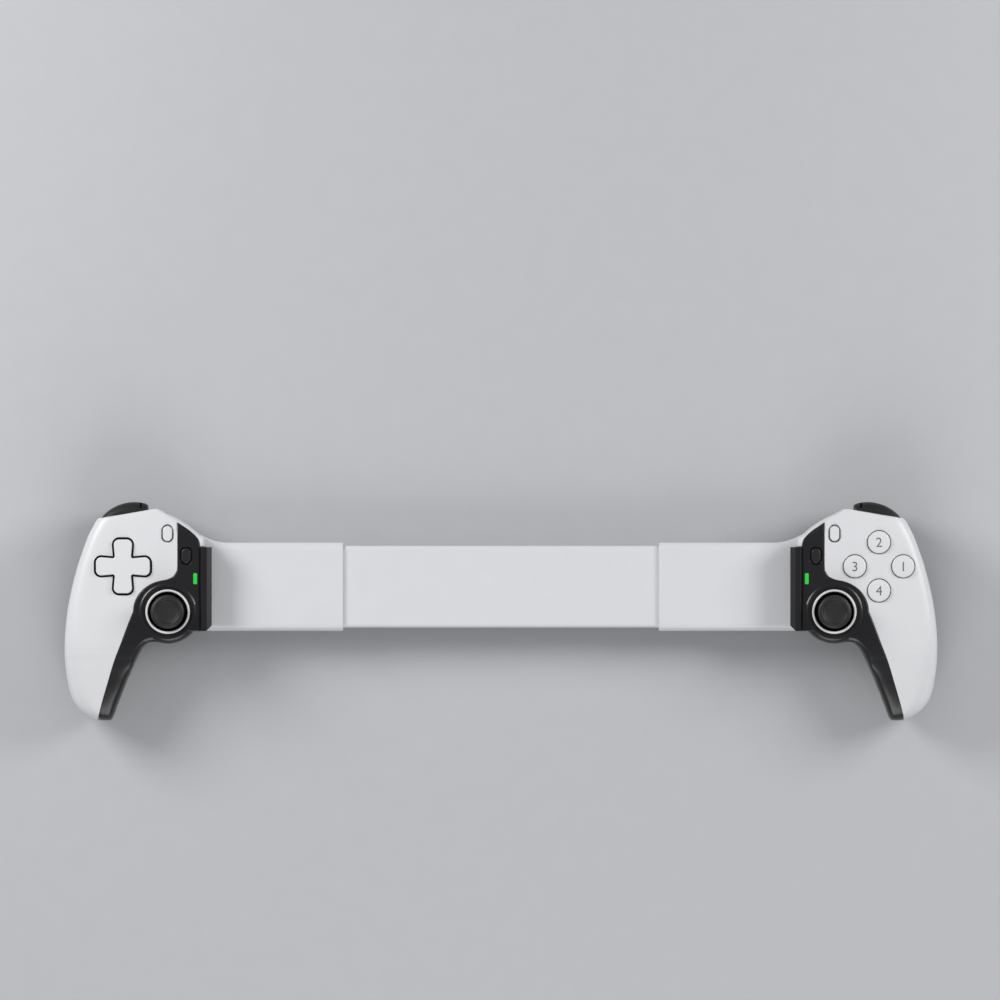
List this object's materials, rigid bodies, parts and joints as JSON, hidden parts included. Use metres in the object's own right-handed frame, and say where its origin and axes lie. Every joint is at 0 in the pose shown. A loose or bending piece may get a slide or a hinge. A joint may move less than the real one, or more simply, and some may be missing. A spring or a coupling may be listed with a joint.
{
  "type": "stretchable mobile game controller",
  "caption": "Stretchable game controller: grips with sticks, buttons and triggers slide along a flat bridge and clamp a phone or tablet between padded jaws.",
  "frame": {"origin": "middle of the bottom of the part's box, where it lies on its back, stretched as in the picture", "axes": "+X to the right grip, +Y up the front face to the bumpers, +Z out of the front face"},
  "size_m": [0.405, 0.1013, 0.045],
  "materials": {
    "white_shell": "satin moulded white",
    "white_bridge": "satin moulded white",
    "white_ring": "gloss white",
    "white_button": "semi-gloss white",
    "black_panel": "semi-gloss black",
    "black_button": "semi-gloss black",
    "dark_shell": "fine textured black",
    "dark_inner": "plain",
    "soft_rubber": "ribbed soft",
    "stick_rubber": "soft touch",
    "keypad_rubber": "silicone",
    "circuit_board": "solder mask",
    "green_light": "clear green lens",
    "battery_foil": "foil pouch",
    "steel": "plain steel"
  },
  "bodies": {
    "bridge": {"centre_front_cover": "white_bridge", "centre_rear_tray": "white_bridge", "link_cable": "dark_inner", "centre_screws": "steel"},
    "left_grip": {"left_front_shell": "white_shell", "left_panel": "black_panel", "left_rear_shell": "dark_shell", "left_sleeve": "white_bridge", "left_jaw": "black_panel", "left_jaw_pad": "soft_rubber", "left_board": "circuit_board", "left_screws": "steel", "left_light_window": "green_light", "left_stick_ring": "white_ring", "left_stick_base": "dark_inner", "left_trigger_pin": "steel", "left_trigger_spring": "steel", "left_keypad": "keypad_rubber", "left_battery": "battery_foil"},
    "left_stick_yoke": {"left_stick_yoke": "steel"},
    "left_stick_stem": {"left_stick_stem": "steel"},
    "left_stick_cap": {"left_stick_cap": "stick_rubber"},
    "left_bumper": {"left_bumper": "black_button"},
    "left_trigger": {"left_trigger": "black_button"},
    "right_grip": {"right_front_shell": "white_shell", "right_panel": "black_panel", "right_rear_shell": "dark_shell", "right_sleeve": "white_bridge", "right_jaw": "black_panel", "right_jaw_pad": "soft_rubber", "right_board": "circuit_board", "right_screws": "steel", "right_light_window": "green_light", "right_stick_ring": "white_ring", "right_stick_base": "dark_inner", "right_trigger_pin": "steel", "right_trigger_spring": "steel", "right_keypad": "keypad_rubber", "charging_socket": "steel"},
    "right_stick_yoke": {"right_stick_yoke": "steel"},
    "right_stick_stem": {"right_stick_stem": "steel"},
    "right_stick_cap": {"right_stick_cap": "stick_rubber"},
    "right_bumper": {"right_bumper": "black_button"},
    "right_trigger": {"right_trigger": "black_button"},
    "left_select_button": {"left_select_button": "white_button"},
    "left_home_button": {"left_home_button": "black_button"},
    "right_start_button": {"right_start_button": "white_button"},
    "right_menu_button": {"right_menu_button": "black_button"},
    "action_button_1": {"action_button_1": "white_button"},
    "action_button_2": {"action_button_2": "white_button"},
    "action_button_3": {"action_button_3": "white_button"},
    "action_button_4": {"action_button_4": "white_button"},
    "direction_rocker": {"direction_rocker": "steel"},
    "direction_pad": {"direction_pad": "white_button"}
  },
  "joints": [
    {"name": "left_grip_slide", "type": "slide", "parent": "bridge", "child": "left_grip", "axis": [1, 0, 0], "range_m": [0, 0.064]},
    {"name": "left_stick_tilt_up_down", "type": "hinge", "parent": "left_grip", "child": "left_stick_yoke", "pos_m": [-0.1544, -0.00015, 0.0275], "axis": [1, 0, 0], "range_deg": [-16, 16], "stiffness_Nm_per_rad": 0.045},
    {"name": "left_stick_tilt_left_right", "type": "hinge", "parent": "left_stick_yoke", "child": "left_stick_stem", "pos_m": [-0.1544, -0.00015, 0.0275], "axis": [0, 1, 0], "range_deg": [-16, 16], "stiffness_Nm_per_rad": 0.045},
    {"name": "left_stick_press", "type": "slide", "parent": "left_stick_stem", "child": "left_stick_cap", "axis": [0, 0, -1], "range_m": [0, 0.0005], "stiffness_N_per_m": 5000},
    {"name": "left_bumper_press", "type": "hinge", "parent": "left_grip", "child": "left_bumper", "pos_m": [-0.1653, 0.04355, 0.028], "axis": [0, 0, 1], "range_deg": [0, 3], "stiffness_Nm_per_rad": 0.5},
    {"name": "left_trigger_pull", "type": "hinge", "parent": "left_grip", "child": "left_trigger", "pos_m": [-0.173, 0.04035, 0.0185], "axis": [-1, 0, 0], "range_deg": [0, 14], "stiffness_Nm_per_rad": 0.11},
    {"name": "right_grip_slide", "type": "slide", "parent": "bridge", "child": "right_grip", "axis": [-1, 0, 0], "range_m": [0, 0.064]},
    {"name": "right_stick_tilt_up_down", "type": "hinge", "parent": "right_grip", "child": "right_stick_yoke", "pos_m": [0.1544, -0.00015, 0.0275], "axis": [1, 0, 0], "range_deg": [-16, 16], "stiffness_Nm_per_rad": 0.045},
    {"name": "right_stick_tilt_left_right", "type": "hinge", "parent": "right_stick_yoke", "child": "right_stick_stem", "pos_m": [0.1544, -0.00015, 0.0275], "axis": [0, 1, 0], "range_deg": [-16, 16], "stiffness_Nm_per_rad": 0.045},
    {"name": "right_stick_press", "type": "slide", "parent": "right_stick_stem", "child": "right_stick_cap", "axis": [0, 0, -1], "range_m": [0, 0.0005], "stiffness_N_per_m": 5000},
    {"name": "right_bumper_press", "type": "hinge", "parent": "right_grip", "child": "right_bumper", "pos_m": [0.1653, 0.04355, 0.028], "axis": [0, 0, -1], "range_deg": [0, 3], "stiffness_Nm_per_rad": 0.5},
    {"name": "right_trigger_pull", "type": "hinge", "parent": "right_grip", "child": "right_trigger", "pos_m": [0.173, 0.04035, 0.0185], "axis": [-1, 0, 0], "range_deg": [0, 14], "stiffness_Nm_per_rad": 0.11},
    {"name": "left_select_button_press", "type": "slide", "parent": "left_grip", "child": "left_select_button", "axis": [0, 0, -1], "range_m": [0, 0.0005], "stiffness_N_per_m": 1500},
    {"name": "left_home_button_press", "type": "slide", "parent": "left_grip", "child": "left_home_button", "axis": [0, 0, -1], "range_m": [0, 0.0005], "stiffness_N_per_m": 1500},
    {"name": "right_start_button_press", "type": "slide", "parent": "right_grip", "child": "right_start_button", "axis": [0, 0, -1], "range_m": [0, 0.0005], "stiffness_N_per_m": 1500},
    {"name": "right_menu_button_press", "type": "slide", "parent": "right_grip", "child": "right_menu_button", "axis": [0, 0, -1], "range_m": [0, 0.0005], "stiffness_N_per_m": 1500},
    {"name": "action_button_1_press", "type": "slide", "parent": "right_grip", "child": "action_button_1", "axis": [0, 0, -1], "range_m": [0, 0.001], "stiffness_N_per_m": 800},
    {"name": "action_button_2_press", "type": "slide", "parent": "right_grip", "child": "action_button_2", "axis": [0, 0, -1], "range_m": [0, 0.001], "stiffness_N_per_m": 800},
    {"name": "action_button_3_press", "type": "slide", "parent": "right_grip", "child": "action_button_3", "axis": [0, 0, -1], "range_m": [0, 0.001], "stiffness_N_per_m": 800},
    {"name": "action_button_4_press", "type": "slide", "parent": "right_grip", "child": "action_button_4", "axis": [0, 0, -1], "range_m": [0, 0.001], "stiffness_N_per_m": 800},
    {"name": "direction_pad_up_down", "type": "hinge", "parent": "left_grip", "child": "direction_rocker", "pos_m": [-0.1751, 0.02085, 0.031], "axis": [1, 0, 0], "range_deg": [-4.5, 4.5], "stiffness_Nm_per_rad": 0.15},
    {"name": "direction_pad_left_right", "type": "hinge", "parent": "direction_rocker", "child": "direction_pad", "pos_m": [-0.1751, 0.02085, 0.031], "axis": [0, 1, 0], "range_deg": [-4.5, 4.5], "stiffness_Nm_per_rad": 0.15}
  ]
}
